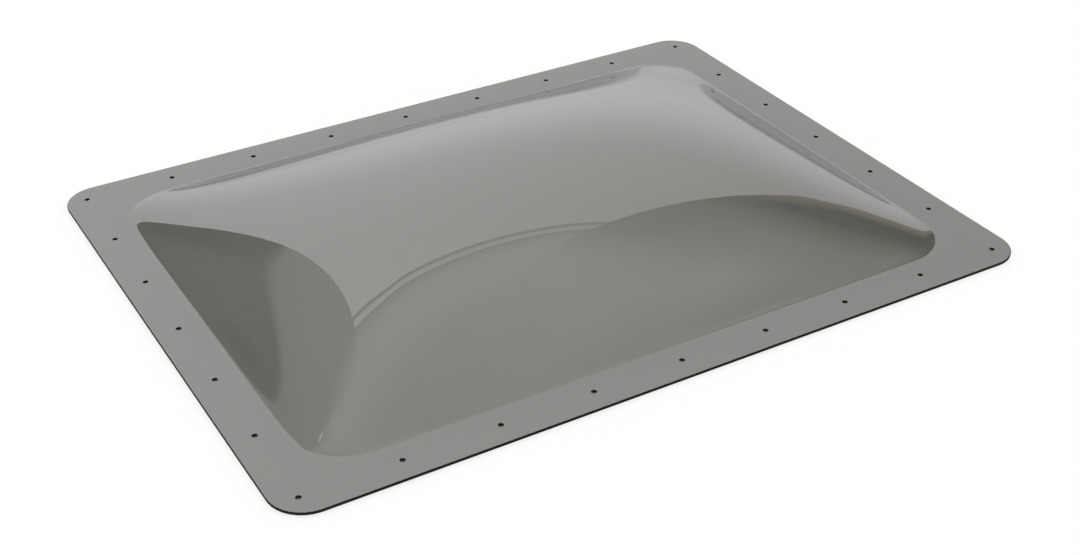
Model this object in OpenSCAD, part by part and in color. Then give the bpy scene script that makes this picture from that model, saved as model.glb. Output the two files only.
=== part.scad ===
// Outer dome of a caravan roof skylight with its sealing tape.
// One clear moulding: a flat flange with bolt holes all round and a pillow
// dome blown up from it, laid on four strips of tape stuck under the flange.
// X runs along the long side, Y runs front to back, Z is up.
// The origin is in the middle of the face that lies on the roof.

/* [Dome] */
// Length of the dome where it leaves the flange
dome_l = 762; // [500:0.2:900]
// Width of the dome where it leaves the flange
dome_w = 558.8; // [400:0.2:700]
// Height of the crown over the flange
dome_rise = 84; // [30:0.5:130]
// Corner radius of the dome in plan
dome_corner_r = 32; // [15:1:50]
// Wall left at the crown, where the sheet has stretched most
crown_t = 2.6; // [1.6:0.1:3.2]
// Size of the soft fillet between the flange and the dome
root_fillet = 2.3; // [0.5:0.1:6]

/* [Flange] */
// Flat width of the flange, from the dome to the outer edge
rim_w = 50.8; // [48:0.2:80]
// Thickness of the sheet in the flange
sheet_t = 3.2; // [2.6:0.1:5]
// Corner radius of the flange's outer edge
rim_corner_r = 38; // [5:1:60]

/* [Bolt holes] */
// Diameter of each bolt hole
hole_d = 5; // [3:0.1:7]
// Distance from the outer edge to the hole centres
hole_inset = 25.4; // [15:0.1:27]
// Distance wanted between neighbouring holes
hole_pitch = 101.6; // [50:0.1:200]

/* [Sealing tape] */
// Width of the tape
tape_w = 18; // [8:0.5:19]
// Thickness of the tape
tape_t = 1.6; // [1:0.1:4]
// Space between the tape and the bolt holes
tape_clear = 1.5; // [0.5:0.1:2.5]

/* [Hidden] */
$fn = 48;

smoke = [0.38, 0.39, 0.37, 0.8];
putty = [0.86, 0.85, 0.80];

// Half sides of the dome's base, the flange and the rectangle of hole centres
half_l = dome_l / 2;
half_w = dome_w / 2;
rim_half_l = half_l + rim_w;
rim_half_w = half_w + rim_w;
hole_half_l = rim_half_l - hole_inset;
hole_half_w = rim_half_w - hole_inset;

// Whole numbers of spaces between the holes along each side
spaces_l = round(2 * hole_half_l / hole_pitch);
spaces_w = round(2 * hole_half_w / hole_pitch);

// Outer edge of the taped rectangle, just inside the holes
tape_half_l = hole_half_l - hole_d / 2 - tape_clear;
tape_half_w = hole_half_w - hole_d / 2 - tape_clear;

// Faces of the dome: along a long side, along a short side, in a corner, and
// from the base up to the crown
long_steps = 20;
short_steps = 14;
corner_steps = 8;
up_steps = 18;
// How strongly the faces crowd together near the fillet
crowding = 1.8;

// Odd terms kept in the film's series
film_terms = 8;
// Small step for slopes, in millimetres
slope_step = 0.05;
// How far a cut runs past the face that it opens
cut_past = 1;

function cosh(v) = (exp(v) + exp(-v)) / 2;

function total(list, i = 0) = i < len(list) ? list[i] + total(list, i + 1) : 0;

// A thin film blown up over a rectangle: its height in arbitrary units
function film_raw(x, y) =
    let (rate = PI / dome_w)
    pow(half_w, 2) - pow(y, 2) - 32 * pow(half_w, 2) / pow(PI, 3) * total([
        for (k = [0 : film_terms - 1])
            let (n = 2 * k + 1)
            pow(-1, k) / pow(n, 3) * cosh(n * rate * x) / cosh(n * rate * half_l) * cos(90 * n * y / half_w)
    ]);

film_top = film_raw(0, 0);

// The same height as a share of the crown's
function film(x, y) = max(0, film_raw(x, y) / film_top);

// The film's share turned into millimetres, so that the short section is an arc
arc_rise = sqrt(pow(dome_rise + root_fillet, 2) - pow(root_fillet, 2));
arc_r = (pow(half_w, 2) + pow(arc_rise, 2)) / (2 * arc_rise);
function blown(x, y) = sqrt(pow(arc_r, 2) - pow(half_w, 2) * (1 - film(x, y))) - (arc_r - arc_rise);

// Height of the outer face over the flange, with the fillet at its foot
function rise_at(x, y) = sqrt(pow(blown(x, y), 2) + pow(root_fillet, 2)) - root_fillet;

// Slopes of the outer face along X and Y
function slope_at(x, y) = [
    rise_at(x + slope_step, y) - rise_at(x - slope_step, y),
    rise_at(x, y + slope_step) - rise_at(x, y - slope_step)
] / (2 * slope_step);

// The wall thins in step with how far the film has been blown
function wall_at(x, y) = sheet_t - (sheet_t - crown_t) * film(x, y);

function between(a, b, steps) = [for (i = [0 : steps - 1]) a + (b - a) * i / steps];

function corner(cx, cy, start) = [
    for (i = [0 : corner_steps - 1])
        let (angle = start + 90 * i / corner_steps)
        [cx + dome_corner_r * cos(angle), cy + dome_corner_r * sin(angle)]
];

// Outline of the dome's base, anticlockwise from the right end of the front
straight_x = half_l - dome_corner_r;
straight_y = half_w - dome_corner_r;
outline = concat(
    corner(straight_x, -straight_y, -90),
    [for (y = between(-straight_y, straight_y, short_steps)) [half_l, y]],
    corner(straight_x, straight_y, 0),
    [for (x = between(straight_x, -straight_x, long_steps)) [x, half_w]],
    corner(-straight_x, straight_y, 90),
    [for (y = between(straight_y, -straight_y, short_steps)) [-half_l, y]],
    corner(-straight_x, -straight_y, 180),
    [for (x = between(-straight_x, straight_x, long_steps)) [x, -half_w]]
);
around = len(outline);

// Share of the outline's size at each step up the dome, 1 at the base
function ring_share(k) = 1 - pow(k / up_steps, crowding);

function outer_point(p) = [p[0], p[1], sheet_t + rise_at(p[0], p[1])];

// A point on the inner face, one wall thickness straight in from the outer face
function inner_point(p) =
    let (slope = slope_at(p[0], p[1]), out = [-slope[0], -slope[1], 1])
    outer_point(p) - out / norm(out) * wall_at(p[0], p[1]);

outer_rings = [
    for (p = outline) [p[0], p[1], sheet_t],
    for (k = [1 : up_steps - 1], p = outline) outer_point(p * ring_share(k))
];
inner_rings = [
    for (p = outline) [p[0], p[1], 0],
    for (k = [1 : up_steps - 1], p = outline) inner_point(p * ring_share(k))
];
crown_points = [outer_point([0, 0]), inner_point([0, 0])];

// Numbers of the points: outer rings first, then inner rings, then the crown
inner_start = up_steps * around;
outer_crown = 2 * inner_start;
inner_crown = outer_crown + 1;

// Two faces for each patch of a ring, wound clockwise as seen from outside
function patch(a, b, c, d) = [[a, b, c], [a, c, d]];

function ring_faces(start, turned) = [
    for (k = [0 : up_steps - 2], i = [0 : around - 1])
        let (
            j = (i + 1) % around,
            low_a = start + k * around + i,
            low_b = start + k * around + j,
            high_a = low_a + around,
            high_b = low_b + around
        )
        each turned ? patch(low_a, low_b, high_b, high_a) : patch(low_a, high_a, high_b, low_b)
];

function crown_faces(start, tip, turned) = [
    for (i = [0 : around - 1])
        let (last = start + (up_steps - 1) * around, a = last + i, b = last + (i + 1) % around)
        turned ? [a, b, tip] : [a, tip, b]
];

foot_faces = [
    for (i = [0 : around - 1])
        let (j = (i + 1) % around)
        each patch(inner_start + i, i, j, inner_start + j)
];

// The blown shell, from the outline up to the crown
module dome_shell() {
    polyhedron(
        points = concat(outer_rings, inner_rings, crown_points),
        faces = concat(
            ring_faces(0, false),
            crown_faces(0, outer_crown, false),
            ring_faces(inner_start, true),
            crown_faces(inner_start, inner_crown, true),
            foot_faces
        ),
        convexity = 4
    );
}

module rounded_rectangle(half_x, half_y, r) {
    square([2 * half_x, 2 * (half_y - r)], center = true);
    square([2 * (half_x - r), 2 * half_y], center = true);
    for (sx = [-1, 1], sy = [-1, 1])
        translate([sx * (half_x - r), sy * (half_y - r)])
            circle(r);
}

module bolt_holes() {
    for (i = [0 : spaces_l], side = [-1, 1])
        translate([-hole_half_l + 2 * hole_half_l * i / spaces_l, side * hole_half_w, -cut_past])
            cylinder(d = hole_d, h = sheet_t + 2 * cut_past);
    for (i = [1 : spaces_w - 1], side = [-1, 1])
        translate([side * hole_half_l, -hole_half_w + 2 * hole_half_w * i / spaces_w, -cut_past])
            cylinder(d = hole_d, h = sheet_t + 2 * cut_past);
}

module flange() {
    difference() {
        linear_extrude(sheet_t)
            difference() {
                rounded_rectangle(rim_half_l, rim_half_w, rim_corner_r);
                polygon(outline);
            }
        bolt_holes();
    }
}

module outer_dome() {
    color(smoke)
        translate([0, 0, tape_t]) {
            flange();
            dome_shell();
        }
}

// A strip of tape between two opposite corners in plan
module tape(from, to) {
    color(putty)
        translate([from[0], from[1], 0])
            cube([to[0] - from[0], to[1] - from[1], tape_t]);
}

// The front and back strips run the full length, the other two butt against them
module tape_front() {
    tape([-tape_half_l, -tape_half_w], [tape_half_l, tape_w - tape_half_w]);
}

module tape_back() {
    tape([-tape_half_l, tape_half_w - tape_w], [tape_half_l, tape_half_w]);
}

module tape_left() {
    tape([-tape_half_l, tape_w - tape_half_w], [tape_w - tape_half_l, tape_half_w - tape_w]);
}

module tape_right() {
    tape([tape_half_l - tape_w, tape_w - tape_half_w], [tape_half_l, tape_half_w - tape_w]);
}

outer_dome();
tape_front();
tape_back();
tape_left();
tape_right();
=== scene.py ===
# %% [markdown]
# # A smoked skylight dome for a caravan roof
#
# The object is one blown sheet of smoked polycarbonate: a flat flange with a
# row of screw holes, and a soft pillow dome that rises from it. Four strips of
# sealing tape lie under the flange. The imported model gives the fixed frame:
# sizes, places and names. This script dresses it, one short cell at a time.

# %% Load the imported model
import math

import bmesh
import bpy
import numpy as np
from mathutils import Matrix, Vector


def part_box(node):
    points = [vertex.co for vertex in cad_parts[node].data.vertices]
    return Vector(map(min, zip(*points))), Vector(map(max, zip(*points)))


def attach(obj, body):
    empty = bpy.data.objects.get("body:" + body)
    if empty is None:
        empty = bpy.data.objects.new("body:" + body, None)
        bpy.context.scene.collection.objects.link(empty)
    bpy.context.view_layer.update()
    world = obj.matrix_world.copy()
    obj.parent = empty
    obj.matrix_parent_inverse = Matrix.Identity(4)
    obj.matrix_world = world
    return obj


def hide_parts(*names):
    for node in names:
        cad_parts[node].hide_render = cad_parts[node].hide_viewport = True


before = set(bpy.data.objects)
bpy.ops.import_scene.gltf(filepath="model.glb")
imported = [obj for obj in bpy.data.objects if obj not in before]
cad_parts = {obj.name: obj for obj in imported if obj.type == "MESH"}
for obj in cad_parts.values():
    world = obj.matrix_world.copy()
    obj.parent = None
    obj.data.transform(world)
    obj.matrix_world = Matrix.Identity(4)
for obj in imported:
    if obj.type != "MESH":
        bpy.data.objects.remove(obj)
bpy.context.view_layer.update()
print("packed nodes:", sorted(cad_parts))

# %% [markdown]
# ## The camera
#
# A camera is fitted once, from points whose real places are known. Here the
# screw holes gave it: they sit on a known grid, so one position, one turn and
# one lens put all of them where they belong. The matrix is built from the
# directions to the right, up and forward, which says more than three angles.

# %% Place the camera
CAMERA_AT = Vector((-0.78018, -1.37406, 0.94148))
LOOK = Vector((0.42273, 0.72942, -0.53782)).normalized()
RIGHT = Vector((0.86361, -0.50413, -0.00491)).normalized()

camera = bpy.data.objects.new("camera", bpy.data.cameras.new("camera"))
camera.data.sensor_width = 36
camera.data.lens = 54.87
up = RIGHT.cross(LOOK)
axes = Matrix((RIGHT, up, -LOOK)).transposed()
camera.matrix_world = Matrix.Translation(CAMERA_AT) @ axes.to_4x4()
bpy.context.scene.collection.objects.link(camera)
bpy.context.scene.camera = camera
bpy.context.scene.view_settings.view_transform = "Standard"
print("camera looks down by", round(math.degrees(math.asin(-LOOK.z)), 1), "degrees")

# %% [markdown]
# ## Sizes
#
# All lengths are in metres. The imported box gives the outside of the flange, 34
# by 26 inches. The dome leaves it along a rounded rectangle, a little under two
# inches in from the edge. The sheet lies on the tape, so its underside is one
# tape thickness up. Sizes that pair up, such as RIM, hold the half length and
# the half width.

# %% Sizes of the moulding
low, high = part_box("outer_dome")
RIM = np.array([high.x, high.y])
RIM_CORNER = 0.038  # corner radius of the flange
UNDERSIDE = low.z
SHEET = 0.0032  # thickness of the sheet
TOP = UNDERSIDE + SHEET
FLAT = 0.0485  # flat width of the flange
BASE = RIM - FLAT
RISE = high.z - TOP
ROOT = 0.0035  # size of the fillet at the foot of the dome
CORNER = 0.068  # corner radius of the dome's base
CROWN_WALL = 0.0026  # wall left where the sheet has stretched most
TINY = 1e-9  # stands in for 0 where a length divides
print("flange", 2 * RIM, "dome base", 2 * BASE, "rise", round(RISE, 4))

# %% [markdown]
# ## The blown form
#
# The sheet is clamped along a rectangle, heated and blown. A hot sheet has no
# stiffness of its own, so it takes the shape of a soap film under pressure:
# steepest in the middle of each side, almost flat towards the corners. One
# could sculpt a pillow by hand, but the film has a formula, and mirrored
# edges in the gloss only run true on a true surface.

# %% The height of a blown film
TERMS = 8  # of the series, which then lies within a tenth of a millimetre


def film(x, y):
    """Height of a thin film blown up over the base rectangle, 1 at the middle.

    A parabola across the short way, less a sum of cosines across, each times a
    hyperbolic cosine along the long way, so that the film is 0 on all sides.
    """
    a, b = BASE
    y = np.clip(y, -b, b)
    height = b**2 - y**2
    top = b**2
    for k in range(TERMS):
        n = 2 * k + 1
        rate = n * math.pi / (2 * b)
        term = 32 * b**2 / math.pi**3 * (-1) ** k / n**3
        along = np.exp(rate * (np.abs(x) - a)) * (1 + np.exp(-2 * rate * np.abs(x)))
        height = height - term * along * np.cos(rate * y)
        top = top - term * 2 * math.exp(-rate * a)
    return np.clip(height / top, 0, None)


print("film a quarter of the way in:", np.round(film(BASE[0] / 2, BASE[1] / 2), 3))

# %% The height of the outer face
SLOPE_STEP = 5e-5  # each way, to measure a slope


def depth(x, y):
    """Distance in from the rounded outline of the base, 0 outside it."""
    u, v = np.abs(x) - (BASE[0] - CORNER), np.abs(y) - (BASE[1] - CORNER)
    past = np.hypot(np.clip(u, 0, None), np.clip(v, 0, None))
    return np.clip(CORNER - past - np.minimum(np.maximum(u, v), 0), TINY, None)


def foot(x, y):
    """Share of the film's height that the fillet leaves, 0 at the outline.

    The square root of depth squared plus root squared, less the root, over the
    depth: it starts as a parabola and runs on as a straight slope.
    """
    d = depth(x, y)
    return (np.hypot(d, ROOT) - ROOT) / d


def rise(x, y):
    """Height of the outer face over the flange.

    The film's share is bent so that the short section is an arc of a circle,
    and the share of the foot rounds it into the flange.
    """
    arc = RISE / foot(0.0, 0.0)
    radius = (BASE[1] ** 2 + arc**2) / (2 * arc)
    up = np.sqrt(radius**2 - BASE[1] ** 2 * (1 - film(x, y))) - (radius - arc)
    return np.clip(up, 0, None) * foot(x, y)


def normal(x, y):
    """Unit vectors square to the outer face, from the slopes each way.

    A slope is the difference of two heights a small step apart, over the step.
    """
    slope_x = (rise(x + SLOPE_STEP, y) - rise(x - SLOPE_STEP, y)) / (2 * SLOPE_STEP)
    slope_y = (rise(x, y + SLOPE_STEP) - rise(x, y - SLOPE_STEP)) / (2 * SLOPE_STEP)
    out = np.stack([-slope_x, -slope_y, np.ones_like(slope_x)], -1)
    return out / np.linalg.norm(out, axis=-1, keepdims=True)


crown, half_way = float(rise(0.0, 0.0)), float(rise(BASE[0] / 2, 0.0))
print("crown", round(crown, 4), "half way to the end", round(half_way, 4))

# %% [markdown]
# ## Grids and patches
#
# Every surface here is a grid: one parameter runs round in a closed ring, the
# other across. The patches meet in shared points, so merging equal points
# closes the shell, and a ring that shrinks to one point closes a pole.

# %% Turn grids into one mesh
SAME_POINT = 1e-6  # points nearer than this are merged
NO_LENGTH = 1e-8  # edges shorter than this are dissolved


def grid_faces(rows, columns):
    """Corner numbers of all quads of a grid of rows that each close in a ring.

    Point j of row i has the number i times the columns, plus j. A quad joins it
    to the next point, and both to the two points of the next row.
    """
    i, j = np.meshgrid(np.arange(rows - 1), np.arange(columns), indexing="ij")
    here, there, after = i * columns, (i + 1) * columns, (j + 1) % columns
    quads = np.stack([here + j, here + after, there + after, there + j], -1)
    return quads.reshape(-1, 4)


def make_piece(name, grids, node):
    """One closed mesh from grids of points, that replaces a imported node."""
    points, faces, start = [], [], 0
    for grid in grids:
        points.append(grid.reshape(-1, 3))
        faces.append(grid_faces(grid.shape[0], grid.shape[1]) + start)
        start += len(points[-1])
    mesh = bpy.data.meshes.new(name)
    mesh.from_pydata(np.concatenate(points), [], np.concatenate(faces))
    tidy = bmesh.new()
    tidy.from_mesh(mesh)
    bmesh.ops.remove_doubles(tidy, verts=tidy.verts, dist=SAME_POINT)
    bmesh.ops.dissolve_degenerate(tidy, dist=NO_LENGTH, edges=tidy.edges)
    bmesh.ops.recalc_face_normals(tidy, faces=tidy.faces)
    open_edges = sum(not edge.is_manifold for edge in tidy.edges)
    tidy.to_mesh(mesh)
    tidy.free()
    mesh.shade_smooth()
    piece = bpy.data.objects.new(name, mesh)
    bpy.context.scene.collection.objects.link(piece)
    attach(piece, "root")
    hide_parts(node)
    print(name, len(mesh.polygons), "faces,", open_edges, "open edges")
    return piece


print("three rings of four points make", len(grid_faces(3, 4)), "quads")

# %% [markdown]
# ## The outlines
#
# The flange is cut into 28 tiles, one round each screw hole: seven along each
# long side, five along each short side, and one in each corner. An outline is
# a walk round the tiles. Complex numbers make the four turns easy, because
# multiplying by i turns a point by a right angle.

# %% Walk round a rounded rectangle
PITCH = 0.1016  # from one hole to the next
PER_TILE = 20  # points of the walk along each tile
TILES = (7, 5)  # tiles along a long side and along a short one
TILE_COUNT = 2 * sum(TILES) + 4


def leg(half_u, half_v, radius, tiles_u, tiles_v):
    """One side and the corner after it, as complex points and directions out.

    The side is straight. The corner walks on along the side, turns through an
    arc at even speed and then walks on along the next side.
    """
    cut_u, cut_v = tiles_u * PITCH / 2, tiles_v * PITCH / 2
    side = np.linspace(-cut_u, cut_u, tiles_u * PER_TILE, endpoint=False)
    before, after = half_u - radius - cut_u, half_v - radius - cut_v
    arc = radius * math.pi / 2
    way = np.linspace(0, before + arc + after, PER_TILE, endpoint=False)
    angle = np.clip((way - before) / radius, 0, math.pi / 2)
    u = cut_u + np.minimum(way, before) + radius * np.sin(angle)
    v = half_v - radius * (1 - np.cos(angle)) - np.maximum(way - before - arc, 0)
    points = np.concatenate([side - 1j * half_v, u - 1j * v])
    out = np.concatenate([np.full(len(side), -1j), np.sin(angle) - 1j * np.cos(angle)])
    return points, out


def outline(half, radius):
    """The whole walk: four legs, each turned a right angle from the last."""
    sizes = [(half[0], half[1], *TILES), (half[1], half[0], *TILES[::-1])] * 2
    legs = [leg(u, v, radius, tu, tv) for u, v, tu, tv in sizes]
    points = np.concatenate([p * 1j**k for k, (p, out) in enumerate(legs)])
    out = np.concatenate([out * 1j**k for k, (p, out) in enumerate(legs)])
    return points, out


def rounded(points, half, radius):
    """Points of a walk moved in or out onto a rounded rectangle's corners.

    In a corner each point slides along the line from the arc's centre until its
    distance from there is the radius.
    """
    u = np.abs(points.real) - (half[0] - radius)
    v = np.abs(points.imag) - (half[1] - radius)
    distance = np.hypot(np.maximum(u, TINY), np.maximum(v, TINY))
    pull = np.where((u > 0) & (v > 0), radius / distance, 1)
    shift_u = np.sign(points.real) * u * (pull - 1)
    shift_v = np.sign(points.imag) * v * (pull - 1)
    return points + shift_u + 1j * shift_v


def solid_points(flat, height):
    """Complex points in plan and their heights as points in space."""
    return np.stack([flat.real, flat.imag, np.broadcast_to(height, flat.shape)], -1)


print("a walk passes", TILE_COUNT, "tiles in", TILE_COUNT * PER_TILE, "points")

# %% [markdown]
# ## The flange
#
# A saw cuts the outer edge and a drill makes the holes, and both leave a small
# broken edge that catches the light. A Boolean with cylinders could cut the
# holes, but it leaves long thin faces, which show in the gloss. So each tile is
# a profile that starts at the tile's border, runs flat to the hole, turns over
# a tiny round, goes down the hole and comes back underneath.

# %% Profile of a broken edge
BREAK = 0.0005  # size of the broken edge
WALK_CORNER = 0.02  # corner radius of the walk round the dome


def broken_edge(steps=3):
    """How far out and how high, from the top face round to the underside.

    Two quarter circles with the straight wall of the cut between them.
    """
    angle = np.linspace(0, math.pi / 2, steps + 1)
    out, down = BREAK * np.sin(angle), BREAK * (1 - np.cos(angle))
    height = np.concatenate([TOP - down, UNDERSIDE + down[::-1]])
    return np.concatenate([out, out[::-1]]), height


edge_out, edge_z = broken_edge()
rim, rim_out = outline(RIM - BREAK, RIM_CORNER - BREAK)
# The base is walked with a small corner, so that its points pair with the
# rim's, and then moved onto the real corner.
base = rounded(outline(BASE, WALK_CORNER)[0], BASE, CORNER)
rim_edge = solid_points(rim + edge_out[:, None] * rim_out, edge_z[:, None])
print("outline points:", len(rim), "edge profile:", len(edge_z))

# %% Tiles round the screw holes
HOLE = 0.0025  # radius of a hole
HOLE_INSET = 0.0254  # from the outer edge to the hole centres
CUTS = 8  # steps from the dome to the rim along a tile's border
SPOKE = (1, 0.97, 0.45, 0.14, 0.03)  # rings of a tile, as shares of a spoke


def hole_centres():
    """Where the holes are: an even row on each side, one inch in, and the corners.

    A row's holes lie whole pitches from its middle, and its last hole is the
    one in the corner. Powers of i turn each row onto its side.
    """
    row = RIM - HOLE_INSET
    sizes = [(row[0], row[1], TILES[0]), (row[1], row[0], TILES[1])] * 2
    rows = [np.append((np.arange(n) - (n - 1) / 2) * PITCH, u) - 1j * v for u, v, n in sizes]
    return np.concatenate([r * 1j**k for k, r in enumerate(rows)])


def tile_borders():
    """Closed border of every tile: along the dome, out, along the rim, back in."""
    start = np.arange(TILE_COUNT)[:, None] * PER_TILE
    numbers = (start + np.arange(PER_TILE + 1)) % len(base)
    inner, outer = base[numbers], rim[numbers]
    way = np.linspace(0, 1, CUTS + 1)
    first = inner[:, :1] + (outer[:, :1] - inner[:, :1]) * way
    last = inner[:, -1:] + (outer[:, -1:] - inner[:, -1:]) * way
    parts = [inner[:, :-1], last[:, :-1], outer[:, :0:-1], first[:, :0:-1]]
    return np.concatenate(parts, 1)


def flange_tiles():
    """Each tile as spokes from its border to the hole, down it and back out.

    A point is the hole's centre plus a radius times the spoke's direction, and
    the radius is the hole's own plus a share of the spoke's length. The first
    ring is narrow, so that the broken edge bends the shading of a thin line
    only and the flange looks flat.
    """
    centre, border = hole_centres()[:, None], tile_borders()
    reach = np.abs(border - centre)
    spoke = (border - centre) / reach
    share = np.array(SPOKE)
    flat = HOLE + BREAK + share[:, None, None] * (reach - HOLE - BREAK)
    bore = (HOLE + BREAK - edge_out)[:, None, None]
    wall = np.broadcast_to(bore, (len(edge_out), *reach.shape))
    radius = np.concatenate([flat, wall, flat[::-1]])
    above, below = np.full(len(share), TOP), np.full(len(share), UNDERSIDE)
    height = np.concatenate([above, edge_z, below])
    return solid_points(centre + radius * spoke, height[:, None, None])


tiles = flange_tiles()
print("tiles:", tiles.shape[1], "with", tiles.shape[2], "spokes each")

# %% [markdown]
# ## The dome
#
# Rings shrink from the base outline to the crown. They crowd together at the
# foot, where the sheet turns fastest. The inner face lies one wall thickness
# straight in from the outer one, and the wall thins where the sheet stretched.
# A Solidify modifier would give a wall of one thickness only.

# %% Outer and inner face of the dome
RINGS = 54
CROWDING = 1.8  # 1 for even rings, more to crowd them at the foot


def dome_faces():
    """Rings of the outer face and of the inner face, crown last.

    Ring k is the base outline times 1 less k / rings to the power of the
    crowding. An inner point is the outer one less the wall along the normal,
    and the wall is the sheet less the film's share of what it can lose.
    """
    share = 1 - (np.arange(RINGS + 1) / RINGS) ** CROWDING
    flat = share[:, None] * base
    x, y = flat.real, flat.imag
    lift, out = rise(x, y), normal(x, y)
    lift[0], out[0] = 0, (0, 0, 1)
    outer = solid_points(flat, TOP + lift)
    wall = SHEET - (SHEET - CROWN_WALL) * film(x, y)
    wall[0] = SHEET
    return outer, outer - out * wall[..., None]


outer_face, inner_face = dome_faces()
grids = [outer_face, inner_face, rim_edge] + [tiles[:, k] for k in range(tiles.shape[1])]
dome = make_piece("smoked_dome", grids, "outer_dome")

# %% [markdown]
# ## The sealing tape
#
# Four strips of soft off-white tape are stuck under the flange, inside the
# holes. A box would do for the size, but a real strip is a rolled bead: its
# sides bulge a little and wander where the sheet has squeezed it. So each
# strip is a rounded section carried along a straight path.

# %% A squeezed strip
TAPE_GAP = 0.00005  # air between the tape and the sheet
STEP_ALONG = 0.004  # length of one step along a strip
POINTS_ROUND = 24  # points round the section
WIDTH_POWER, HEIGHT_POWER = 0.15, 0.6  # 1 for an ellipse, 0 for a box
WANDER = 0.00017  # a side moves in by up to twice this
WAVE_RATES = (31, 74, 173)  # radians along each metre
SEED_SHIFT = 1.7  # radians from one strip's waves to the next one's


def strip(start, end, half_width, seed):
    """Rings of a rounded section along the path from start to end.

    The section is a superellipse, flat above and below with bulging sides, and
    a sum of sines along the path moves each side in by up to a third of a
    millimetre. The end rings shrink to a point in the end face.
    """
    start, end = np.array(start), np.array(end)
    length = np.linalg.norm(end - start)
    along = (end - start) / length
    side = np.array([-along[1], along[0]])
    way = np.linspace(0, length, int(length / STEP_ALONG) + 1)
    angle = np.linspace(0, 2 * math.pi, POINTS_ROUND, endpoint=False)
    c, s = np.cos(angle), np.sin(angle)
    across = np.sign(c) * np.abs(c) ** WIDTH_POWER
    height = (UNDERSIDE - TAPE_GAP) / 2 * (1 + np.sign(s) * np.abs(s) ** HEIGHT_POWER)
    waves = [np.sin(way[:, None] * rate + seed * SEED_SHIFT + rate) for rate in WAVE_RATES]
    waves = sum(waves) / len(WAVE_RATES)
    offset = across * (half_width - WANDER * (1 + waves * np.sign(across)))
    shrink = np.ones(len(way) + 2)
    shrink[[0, -1]] = 0
    rows = np.clip(np.arange(-1, len(way) + 1), 0, len(way) - 1)
    offset, way = offset[rows] * shrink[:, None], way[rows]
    middle = UNDERSIDE / 2
    z = middle + (height - middle) * shrink[:, None]
    flat = start + way[:, None, None] * along + offset[..., None] * side
    return np.concatenate([flat, z[..., None]], -1)


tapes = []
for seed, node_name in enumerate(("tape_front", "tape_back", "tape_left", "tape_right")):
    (x0, y0, _), (x1, y1, _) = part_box(node_name)
    if x1 - x0 > y1 - y0:
        ends, half_width = ((x0, (y0 + y1) / 2), (x1, (y0 + y1) / 2)), (y1 - y0) / 2
    else:
        ends, half_width = (((x0 + x1) / 2, y0), ((x0 + x1) / 2, y1)), (x1 - x0) / 2
    rings = strip(*ends, half_width, seed)
    tape_name = node_name.replace("tape", "sealing_strip")
    tapes.append(make_piece(tape_name, [rings], node_name))

# %% [markdown]
# ## Making materials
#
# A material is a small graph of nodes. One helper adds a node, sets its
# plain values and links its inputs, so each finish below reads as a list.

# %% Helper for node graphs
def add(tree, kind, inputs=None, **settings):
    """Add a node, set its settings, and set or link its inputs by name."""
    made = tree.nodes.new("ShaderNode" + kind)
    for key, value in settings.items():
        setattr(made, key, value)
    for key, value in (inputs or {}).items():
        if isinstance(value, bpy.types.NodeSocket):
            tree.links.new(value, made.inputs[key])
        else:
            made.inputs[key].default_value = value
    return made


def new_material(name):
    """An empty material: its tree and its output node."""
    material = bpy.data.materials.new(name)
    material.use_nodes = True
    material.node_tree.nodes.clear()
    return material, material.node_tree, add(material.node_tree, "OutputMaterial")


def noise(tree, where, scale, detail=2.0):
    """A soft random field over a position, about 0.5 on average."""
    sockets = {"Vector": where, "Scale": scale, "Detail": detail}
    return add(tree, "TexNoise", sockets).outputs["Fac"]


def remap(tree, value, from_low, from_high, to_low, to_high):
    """Straight line from one range to another, held at its ends."""
    sockets = {"Value": value, "From Min": from_low, "From Max": from_high}
    sockets.update({"To Min": to_low, "To Max": to_high})
    return add(tree, "MapRange", sockets).outputs["Result"]


def calc(tree, operation, a, b=0.0):
    """One step of arithmetic."""
    return add(tree, "Math", {0: a, 1: b}, operation=operation).outputs[0]


# %% [markdown]
# ## Smoked polycarbonate
#
# Smoked sheet is plastic with grey dye all through it. Most of the light that
# goes in is caught by the dye and comes back as an even dark grey. The rest
# passes through the real wall, where a Volume Absorption soaks it up on its
# way, so from below the dome is a dim window. What one sees from above is the
# grey and, over it, the gloss. The unstretched sheet low down is thicker and a
# little darker than the blown dome. Fine wear makes it real: a haze that varies
# and a few hairline scratches from cleaning.

# %% Smoked sheet
DYE = (0.158, 0.158, 0.141, 1)
DYE_THICK = (0.145, 0.145, 0.129, 1)
STRETCHED_AT = 0.03  # height over the flange from which the sheet is blown thin
LET_THROUGH = 0.3  # share of the light that goes on through the wall
POLYCARBONATE_IOR = 1.585
SMOKE = (0.38, 0.38, 0.33, 1)
SMOKE_DENSITY = 350.0
SCRATCH_TURN = 0.6  # radians


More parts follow.
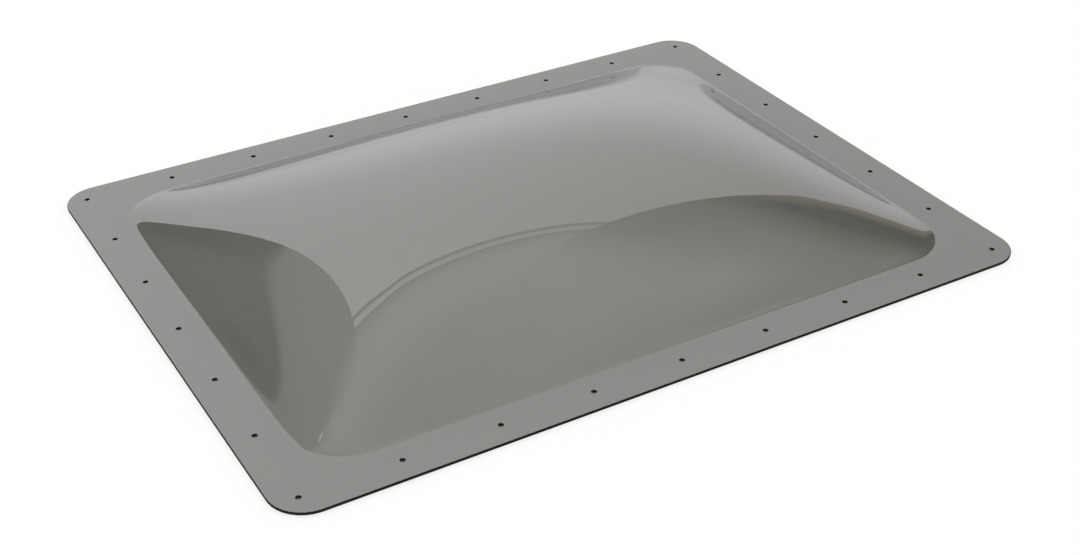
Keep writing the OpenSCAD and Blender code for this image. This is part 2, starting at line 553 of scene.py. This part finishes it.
def smoked_sheet():
    """Dark grey glossy plastic that lets a little light through, with fine wear."""
    material, tree, out = new_material("smoked_sheet")
    where = add(tree, "TexCoord").outputs["Object"]
    height = add(tree, "SeparateXYZ", {"Vector": where}).outputs["Z"]
    stretched = remap(tree, height, TOP, TOP + STRETCHED_AT, 0.0, 1.0)
    dyed = add(tree, "MixRGB", {"Fac": stretched, "Color1": DYE_THICK, "Color2": DYE})
    haze = remap(tree, noise(tree, where, 9, 4), 0.35, 0.7, 0.0, 0.015)
    lines = add(tree, "Mapping", {
        "Vector": where, "Rotation": (0, 0, SCRATCH_TURN), "Scale": (4, 700, 4),
    })
    scratch = remap(tree, noise(tree, lines.outputs[0], 1, 2), 0.77, 0.82, 0.0, 0.06)
    waviness = noise(tree, where, 6, 1)
    bump = add(tree, "Bump", {"Height": waviness, "Strength": 0.15, "Distance": 0.0004})
    shader = add(tree, "BsdfPrincipled", {
        "Base Color": dyed.outputs[0],
        "Roughness": calc(tree, "ADD", haze, scratch),
        "IOR": POLYCARBONATE_IOR,
        "Transmission Weight": LET_THROUGH,
        "Normal": bump.outputs[0],
    })
    dye = add(tree, "VolumeAbsorption", {"Color": SMOKE, "Density": SMOKE_DENSITY})
    tree.links.new(shader.outputs[0], out.inputs["Surface"])
    tree.links.new(dye.outputs[0], out.inputs["Volume"])
    return material


smoked = smoked_sheet()
dome.data.materials.append(smoked)
print(smoked.name, "is a graph of", len(smoked.node_tree.nodes), "nodes")

# %% [markdown]
# ## Sawn edges
#
# The outer edge is sawn and the holes are drilled. Looked at from the side the
# dye is as deep as the sheet is wide, so a cut is dark, and the tool leaves it
# matt. The near black colour and the weak gloss go further than the dye: they
# are painted shade, which keeps the walls of the holes and the outer edge dark.
# The cuts get a second material, given face by face.

# %% Edge material, and which faces get it
# near black: partly the dye seen edge on, partly painted shade on the cuts
CUT_DARK, CUT_LIGHT = (0.004, 0.004, 0.004, 1), (0.012, 0.012, 0.011, 1)
ON_A_SIDE = 1e-5  # as near as this to a side of the sheet counts as on it


def sawn_edge():
    """Near black, matt, with upright marks of the saw: partly painted shade."""
    material, tree, out = new_material("sawn_edge")
    where = add(tree, "TexCoord").outputs["Object"]
    marks = add(tree, "Mapping", {"Vector": where, "Scale": (1, 1, 0.1)})
    saw = noise(tree, marks.outputs[0], 2500, 2)
    shade = add(tree, "MixRGB", {"Fac": saw, "Color1": CUT_DARK, "Color2": CUT_LIGHT})
    bump = add(tree, "Bump", {"Height": saw, "Strength": 0.3, "Distance": 0.0001})
    shader = add(tree, "BsdfPrincipled", {
        "Base Color": shade.outputs[0],
        "Roughness": remap(tree, saw, 0, 1, 0.45, 0.6),
        # weak gloss, so that the painted shade on the cuts stays dark
        "Specular IOR Level": 0.12,
        "Normal": bump.outputs[0],
    })
    tree.links.new(shader.outputs[0], out.inputs["Surface"])
    return material


def find_cuts(piece):
    """1 for each face of the rim's edge or a hole's wall, 0 for the others.

    The middle of a cut's face lies outside the dome and between the two sides
    of the sheet.
    """
    middle = np.empty(len(piece.data.polygons) * 3, np.float32)
    piece.data.polygons.foreach_get("center", middle)
    x, y, z = middle.reshape(-1, 3).T
    outside = (np.abs(x) > BASE[0]) | (np.abs(y) > BASE[1])
    between = (z > UNDERSIDE + ON_A_SIDE) & (z < TOP - ON_A_SIDE)
    return (outside & between).astype(np.int32)


dome.data.materials.append(sawn_edge())
cuts = find_cuts(dome)
dome.data.polygons.foreach_set("material_index", cuts)
print("faces on cuts:", int(cuts.sum()))

# %% [markdown]
# ## Sealing tape
#
# Butyl tape is a soft rubbery putty: matt, off-white, faintly mottled, with a
# fine grain from its release paper. All of it is noise at different sizes: the
# slow one mixes two colours, the fast ones lift the surface in a Bump node.

# %% Tape material
PUTTY_DARK, PUTTY_LIGHT = (0.80, 0.79, 0.73, 1), (0.88, 0.87, 0.83, 1)


def sealing_tape():
    """Matt off-white putty with a mottle and a fine grain."""
    material, tree, out = new_material("sealing_tape")
    where = add(tree, "TexCoord").outputs["Object"]
    mottle = remap(tree, noise(tree, where, 60, 4), 0.3, 0.7, 0.0, 1.0)
    colour = add(tree, "MixRGB", {"Fac": mottle, "Color1": PUTTY_DARK, "Color2": PUTTY_LIGHT})
    fine, coarse = noise(tree, where, 1800, 2), noise(tree, where, 220, 3)
    grain = calc(tree, "ADD", fine, calc(tree, "MULTIPLY", coarse, 2))
    bump = add(tree, "Bump", {"Height": grain, "Strength": 0.4, "Distance": 0.0002})
    rough = remap(tree, mottle, 0, 1, 0.62, 0.8)
    shader = add(tree, "BsdfPrincipled", {
        "Base Color": colour.outputs[0], "Roughness": rough, "Normal": bump.outputs[0],
    })
    tree.links.new(shader.outputs[0], out.inputs["Surface"])
    return material


putty = sealing_tape()
for tape in tapes:
    tape.data.materials.append(putty)
print(putty.name, "is on", putty.users, "strips")

# %% [markdown]
# ## Ground and light
#
# The ground is a plain white floor under an even white sky: both of strength
# 1, so the floor renders white by itself and still holds the object's soft
# shadow. More lamps would make it white too, but they would bleach the object.
# Under the flange the floor is a sheet of its own that doesn't shine to the
# camera, so the narrow gap there stays dark.

# %% Floor and sky
FLOOR_HALF = 20
SHADE_KEPT = 0.25  # share of the shadow that is left where the paper shines
COVER_INSET, COVER_LIFT = 0.004, 0.0002


def flat_stage(name, corners, material):
    """A flat sheet of the stage from its corners."""
    mesh = bpy.data.meshes.new(name)
    mesh.from_pydata(corners, [], [range(len(corners))])
    sheet = bpy.data.objects.new(name, mesh)
    bpy.context.scene.collection.objects.link(sheet)
    mesh.materials.append(material)


def white_paper(name, kinds):
    """Matt white paper that also shines by itself to the named kinds of ray."""
    material, tree, out = new_material(name)
    paper = add(tree, "BsdfDiffuse", {"Color": (1, 1, 1, 1)})
    shine = add(tree, "Emission", {"Color": (1, 1, 1, 1), "Strength": 1.0})
    ray = add(tree, "LightPath").outputs
    seen = 0.0
    for kind in kinds:
        seen = calc(tree, "MAXIMUM", ray[f"Is {kind} Ray"], seen)
    share = calc(tree, "MULTIPLY", seen, 1 - SHADE_KEPT)
    mixed = add(tree, "MixShader", {0: share, 1: paper.outputs[0], 2: shine.outputs[0]})
    tree.links.new(mixed.outputs[0], out.inputs["Surface"])
    return material


square = FLOOR_HALF * np.array([(-1, -1, 0), (1, -1, 0), (1, 1, 0), (-1, 1, 0)])
flat_stage("floor", square, white_paper("white_floor", ("Camera", "Glossy", "Transmission")))
covered = outline(RIM - COVER_INSET, RIM_CORNER - COVER_INSET)[0]
hidden_paper = white_paper("covered_paper", ("Glossy", "Transmission"))
flat_stage("covered_floor", solid_points(covered, COVER_LIFT), hidden_paper)

sky = bpy.data.worlds.new("sky")
sky.use_nodes = True
background = sky.node_tree.nodes["Background"].inputs
background["Color"].default_value = (1, 1, 1, 1)
background["Strength"].default_value = 1.0
bpy.context.scene.world = sky
print("floor", 2 * FLOOR_HALF, "m wide, under a white", sky.name)

# %% [markdown]
# ## What the gloss mirrors
#
# Gloss needs something to mirror. In a product studio that is a set of soft
# boxes and dark boards a long step from the table. As lamps they would also
# light the object and the floor, so here they are glowing sheets that only
# mirrored light can see. Each sheet keeps its light in an attribute of its
# points, which a formula fills.

# %% Glowing sheets for the gloss
MIRRORED_TWICE = 0.75  # share of the light that a second image keeps


def lit_board(name):
    """Plain light, as strong and as tinted as the board's own attribute says.

    What the flange mirrors is mirrored again in the foot of the dome. The sheet
    is never quite flat, so this second image keeps only part of its light.
    """
    material, tree, out = new_material(name)
    glow = add(tree, "Attribute", attribute_name="glow").outputs["Color"]
    times_mirrored = add(tree, "LightPath").outputs["Glossy Depth"]
    strength = remap(tree, times_mirrored, 1, 2, 1.0, MIRRORED_TWICE)
    light = add(tree, "Emission", {"Color": glow, "Strength": strength})
    tree.links.new(light.outputs[0], out.inputs["Surface"])
    material.cycles.emission_sampling = "NONE"
    return material


def glow_sheet(name, points, glow, closed=False):
    """A grid of points that glows in red, green and blue, and that only gloss can see."""
    rows, columns = points.shape[:2]
    quads = grid_faces(rows, columns)
    if not closed:
        quads = quads[quads[:, 0] % columns < columns - 1]
    mesh = bpy.data.meshes.new(name)
    mesh.from_pydata(points.reshape(-1, 3), [], quads)
    colour = np.concatenate([glow, np.ones_like(glow[..., :1])], -1).astype(np.float32)
    attribute = mesh.attributes.new("glow", "FLOAT_COLOR", "POINT")
    attribute.data.foreach_set("color", colour.ravel())
    mesh.materials.append(lit_board(name))
    piece = bpy.data.objects.new(name, mesh)
    bpy.context.scene.collection.objects.link(piece)
    for kind in ("camera", "diffuse", "transmission", "volume_scatter", "shadow"):
        setattr(piece, "visible_" + kind, False)
    print(name, "glows from", round(float(glow.min()), 2), "to", round(float(glow.max()), 2))


# %% [markdown]
# The dome stands on the white floor and shades it, and the gloss at its foot
# mirrors that. So rings of light lie on the floor round the flange: dimmest at
# the middle of each side, where the dome stands high, and brighter outwards,
# until they meet the room.

# %% The dome's own shade on the floor
RINGS_AWAY = [
    -0.01, 0, 0.03, 0.06, 0.09, 0.12, 0.15, 0.18, 0.22, 0.27, 0.33, 0.42, 0.7, 1.1, 1.6, 2.4,
]
SHADE_LIFT = 0.0004
SHADE_DEPTH, SHADE_REACH = 0.5, 0.2


def shade_round_the_flange():
    """Rings on the floor from the flange outwards, dim where the dome's shade lies.

    The shade falls off with the distance as a steep bell curve, and from the
    middle of a side towards the corners, where the dome stands low. Far out the
    rings brighten slowly to the foot of the card, so that no line shows there.
    """
    away = np.array(RINGS_AWAY)
    rings = np.array([outline(RIM + d, RIM_CORNER + d)[0] for d in away])
    along = np.minimum(np.abs(rings.real) / RIM[0], np.abs(rings.imag) / RIM[1])
    beside = np.exp(-(np.clip(away[:, None], 0, None) / SHADE_REACH) ** 4)
    shade = beside * np.clip((0.97 - along) / 0.22, 0, 1)
    open_floor = np.interp(away, [0, 0.42, 2.4], [0.88, 0.98, 1.17])[:, None]
    glow = np.repeat((open_floor - SHADE_DEPTH * shade)[..., None], 3, -1)
    glow_sheet("mirrored_shade", solid_points(rings, SHADE_LIFT), glow, closed=True)


shade_round_the_flange()

# %% [markdown]
# The room round the table is drawn as patches of a sphere, called boards here.
# Azimuth and elevation suit it, because a mirror only shows directions: a
# straight edge in the room is then a short formula, and a fade is another.

# %% A board of light
FAR = 3.05  # radius of the sphere
GRID_LINES = 97
FIRST_GUESS = 54  # degrees


def board(name, sides, low, high, glow, tint, near=0.0):
    """A patch of a sphere round the object that glows and that only gloss can see.

    A point is the sphere's radius times the direction of an azimuth and an
    elevation. Each side is an azimuth that follows the elevation, and the edges
    low and high are elevations that follow the azimuth, so both are worked out
    in turns, from a first guess. Degrees, with the azimuth from +Y towards +X.
    """
    across, up = np.meshgrid(np.linspace(0, 1, GRID_LINES), np.linspace(0, 1, GRID_LINES))
    elevation = FIRST_GUESS + 0 * up
    for _ in range(3):
        azimuth = sides[0](elevation) + (sides[1](elevation) - sides[0](elevation)) * across
        elevation = low(azimuth) + (high(azimuth) - low(azimuth)) * up
    a, e = np.radians(azimuth), np.radians(elevation)
    points = (FAR - near) * np.stack([np.cos(e) * np.sin(a), np.cos(e) * np.cos(a), np.sin(e)], -1)
    light = np.stack(tint(azimuth, elevation), -1) * glow(azimuth, elevation)[..., None]
    glow_sheet(name, points, light)


def at(value):
    """An edge that stays at one azimuth or elevation."""
    return lambda other: 0 * other + value


print("the room lies", FAR, "m away")

# %% [markdown]
# The main light is a tall white card behind the object. It is brightest high
# up, and a narrow strip light runs along its top edge, which peaks a little
# left of its middle. Over it hangs a large ceiling of light, dimmer where it
# meets the strip. Left and right of the card the room falls off into grey. One
# large lamp could stand for all this, but the dome would look like plain glass.

# %% The card and its strip light
STRIP_HEIGHT = 1.3  # degrees from the strip's lower edge to its upper one
CARD_UNDER = 2.1  # degrees from the top of the card to the strip's upper edge
CARD_HEIGHTS = [0, 3, 8, 14, 20, 26, 34, 42, 50, 58]
CARD_LEVELS = [1.18, 1.3, 1.49, 1.63, 1.75, 1.89, 2.15, 2.4, 2.63, 2.9]
RATE_FROM = 15  # azimuth from which the card's light changes sideways


def strip_top(azimuth, lift=0.0):
    """Elevation of the strip light's upper edge: a cubic, highest at 16 degrees."""
    return np.polyval((2.48e-05, -0.00463, 0.12, 60), azimuth) + lift


def card_left(elevation):
    """Azimuth of the card's left edge: a parabola, nearest the middle at 38 degrees."""
    return -10.7 - 0.006 * (np.minimum(elevation, 62) - 38) ** 2


def card_right(elevation):
    """Azimuth of the card's right edge: upright, then half a parabola inwards."""
    return 63.7 - 0.0105 * np.clip(elevation - 29, 0, 30) ** 2


def card_glow(azimuth, elevation):
    """Brighter with the elevation, less a rate times the azimuth to the right.

    The rate follows the elevation too, and is another one left of the middle.
    """
    level = np.interp(elevation, CARD_HEIGHTS, CARD_LEVELS)
    left_rate = np.interp(elevation, [10, 20, 30], [0, 0.003, 0.009])
    right_rate = np.interp(elevation, [0, 20, 30, 50], [0.0035, 0.0085, 0.01, 0.0075])
    rate = np.where(azimuth < RATE_FROM, left_rate, right_rate)
    return level - rate * (azimuth - RATE_FROM)


def strip_glow(azimuth, elevation):
    """Rises from the strip's lower edge to its upper edge."""
    share = (elevation - strip_top(azimuth)) / STRIP_HEIGHT + 1
    return 2.55 + 0.5 * share - 0.009 * azimuth


print("top of the strip light:", np.round(strip_top(np.array([-10, 16, 60])), 1), "degrees")

# %% [markdown]
# The flat flange mirrors the lowest part of the room in views from the side. A
# hard edge there would show as a dark patch, so low down the walls run into
# the card, and only higher up the card has a crisp edge.

# %% Where the walls run into the card
FADE_WIDTH = 18  # degrees
FADE_HEIGHTS = {0: (20, 24), 180: (26, 50)}  # full below the first, none above the second


def faded_in(glow, turn):
    """A wall's glow, that low down runs into a card's left edge without a line.

    The share of the card's own glow is a bell curve of the distance from that
    edge. It falls to nothing between two heights, which each card has of its
    own.
    """
    full, none = FADE_HEIGHTS[turn % 360]

    def mixed(azimuth, elevation):
        level = glow(azimuth, elevation)
        gap = card_left(elevation) + turn - azimuth
        low_down = np.clip((none - elevation) / (none - full), 0, 1)
        share = np.exp(-(gap / FADE_WIDTH) ** 2) * low_down
        return level + (card_glow(azimuth - turn, elevation) - level) * share

    return mixed


print("fades end at", [none for full, none in FADE_HEIGHTS.values()], "degrees up")

# %% [markdown]
# The ceiling and the walls are what makes the form readable: the ceiling marks
# the level top, and each wall darkens one end of the dome. Their light is read
# from short tables of elevations, with straight lines between the entries.

# %% The ceiling and the grey walls
WALL_HEIGHTS = [35, 39, 43, 47, 51, 55, 59, 63, 67, 73, 80]
BY_THE_CARD = [0, 0.28, 0.65, 0.9, 1.06, 1.27, 1.78, 2.28, 2.36, 2.36, 2.27]
FURTHER_ROUND = [0.2, 0.4, 0.7, 1.17, 1.34, 1.57, 1.97, 2.32, 2.38, 2.38, 2.25]
FAR_ROUND = [0.4, 0.6, 0.8, 1.2, 1.58, 2.13, 2.24, 2.36, 2.4, 2.3, 2.18]
LEFT_HEIGHTS = [35, 38, 43, 48, 55, 58, 61, 64, 74]
LEFT_LEVELS = [1.05, 1.18, 1.31, 1.44, 1.5, 1.65, 2.12, 2.3, 2.4]


def ceiling_glow(azimuth, elevation):
    """Dim just over the strip light, as a falling exponential, and at the zenith."""
    over = np.clip(elevation - strip_top(azimuth), 0, None)
    level = np.interp(elevation, [70, 73, 80], [2.55, 2.42, 2.28])
    return level - 0.003 * np.clip(np.abs(azimuth - 15), 0, 40) - 0.85 * np.exp(-over / 2)


def right_glow(azimuth, elevation):
    """From black low down to the ceiling's light above, with a lit strip by the card.

    Three tables of the elevation, mixed by straight lines of the azimuth.
    """
    tables = (BY_THE_CARD, FURTHER_ROUND, FAR_ROUND)
    beside, further, far = (np.interp(elevation, WALL_HEIGHTS, levels) for levels in tables)
    share, far_share = np.clip((azimuth - 68) / 16, 0, 1), np.clip((azimuth - 84) / 16, 0, 1)
    lit = 0.5 * np.clip((67 - azimuth) / 3, 0, 1) * np.clip((40 - elevation) / 8, 0, 1)
    return beside + (further - beside) * share + (far - further) * far_share + lit


def left_glow(azimuth, elevation):
    """Grey above, darker below a line that bends up to the left as a parabola."""
    above = np.interp(elevation, LEFT_HEIGHTS, LEFT_LEVELS)
    below = np.interp(azimuth, [-30, -24, -20, -16, -12], [0.5, 0.46, 0.42, 0.27, 0.25])
    below = below + 0.022 * np.clip(elevation - 29, -10, 5) * np.clip((azimuth + 22) / 4, 0, 1)
    out = np.clip(-16 - azimuth, 0, None)
    line = 34.4 + 0.2 * out + 0.02 * out**2
    return below + (above - below) * np.clip((elevation - line) / 2.4 + 0.5, 0, 1)


print("ceiling at the zenith:", round(float(ceiling_glow(0.0, 90.0)), 2))

# %% [markdown]
# A room is never quite grey. A trace of tint on each board, a few hundredths at
# most but for the warm foot of the right wall, keeps the gloss from looking
# dead. A tint is three factors, for red, green and blue.

# %% Tints of the boards
def card_tint(azimuth, elevation):
    """White, with a trace less blue high up."""
    high = np.clip((elevation - 50) / 10, 0, 1)
    return 1 + 0.005 * high, 1 + 0.015 * high, 1 - 0.02 * high


def right_tint(azimuth, elevation):
    """Warmer the lower it is, as from a wooden floor, and neutral far round."""
    warm = np.interp(elevation, [36, 46, 56, 66], [0.2, 0.09, 0.045, 0.01])
    warm = warm * np.clip((135 - azimuth) / 30, 0, 1)
    return 1 + warm, 1.015 + 0 * warm, 0.985 - 0.9 * warm


def left_tint(azimuth, elevation):
    """A trace of blue low down and a trace of yellow above."""
    above = np.clip((elevation - 28) / 8, 0, 1)
    return 0.975 + 0.035 * above, 1.01 + 0.01 * above, 1.015 - 0.045 * above


print("card high up:", np.round(card_tint(0.0, 60.0), 3))

# %% [markdown]
# The same room stands in front of the object too, half a turn on, so that it
# looks well from behind. The sheets overlap a little: the strip light and the
# card hang nearest, the ceiling behind them, and the walls run on behind all.

# %% Hang the boards
WALLS_MEET = 150  # azimuth where the right wall ends and the next left one starts
RUN_ON = 2  # degrees that a wall runs on behind the card
NEAREST, NEARER = 0.1, 0.05


def turned(shape, turn):
    """An edge or glow that reads the azimuth, turned round the room."""
    return lambda azimuth, *rest: shape(azimuth - turn, *rest)


def moved(side, turn, extra=0):
    """A side's azimuth, turned round the room and moved by some degrees."""
    return lambda elevation: side(elevation) + turn + extra


for turn in (0, 180):
    sides = moved(card_left, turn), moved(card_right, turn)
    strip_high = turned(strip_top, turn)
    strip_low = turned(lambda azimuth: strip_top(azimuth, -STRIP_HEIGHT), turn)
    card_high = turned(lambda azimuth: strip_top(azimuth, -CARD_UNDER), turn)
    glows = [turned(glow, turn) for glow in (card_glow, strip_glow, ceiling_glow)]
    board(f"card_{turn}", sides, at(0), card_high, glows[0], card_tint, NEAREST)
    board(f"strip_light_{turn}", sides, strip_low, strip_high, glows[1], card_tint, NEAREST)
    board(f"ceiling_{turn}", sides, card_high, at(90), glows[2], card_tint, NEARER)

    sides = moved(card_right, turn, -RUN_ON), at(turn + WALLS_MEET)
    level = faded_in(turned(right_glow, turn), turn + 180)
    board(f"right_wall_{turn}", sides, at(0), at(90), level, turned(right_tint, turn))

    sides = at(turn + WALLS_MEET - 180), moved(card_left, turn, RUN_ON)
    level = faded_in(turned(left_glow, turn), turn)
    board(f"left_wall_{turn}", sides, at(0), at(90), level, left_tint)
